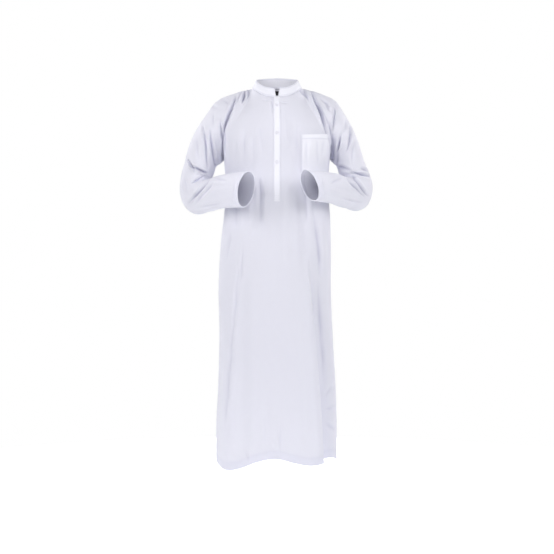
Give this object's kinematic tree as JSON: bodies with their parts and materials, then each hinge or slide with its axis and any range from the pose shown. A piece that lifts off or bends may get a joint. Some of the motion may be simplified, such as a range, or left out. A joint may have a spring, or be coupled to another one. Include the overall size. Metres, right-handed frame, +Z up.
{
  "type": "thobe robe",
  "caption": "Ankle-length white robe in a worn pose, hollow, with a stand collar, half placket, long sleeves and a chest pocket.",
  "frame": {"origin": "between the shoulders, in the middle of the neck opening and level with the sides of the collar's base", "axes": "+Z up the garment, -Y out of its front, +X to the wearer's left"},
  "size_m": [0.6474, 0.374, 1.305],
  "materials": {
    "white_cloth": "smooth white polyester and cotton weave with a faint cool sheen",
    "black_cloth": "matt black woven tape",
    "button_white": "pearly white, lightly polished"
  },
  "bodies": {
    "root": {"front_panel": "white_cloth", "back_panel": "white_cloth", "sleeve_left": "white_cloth", "sleeve_right": "white_cloth", "collar_band": "white_cloth", "placket_strip": "white_cloth", "chest_pocket": "white_cloth", "collar_tab": "black_cloth", "button_1": "button_white", "button_2": "button_white", "button_3": "button_white"}
  },
  "joints": []
}
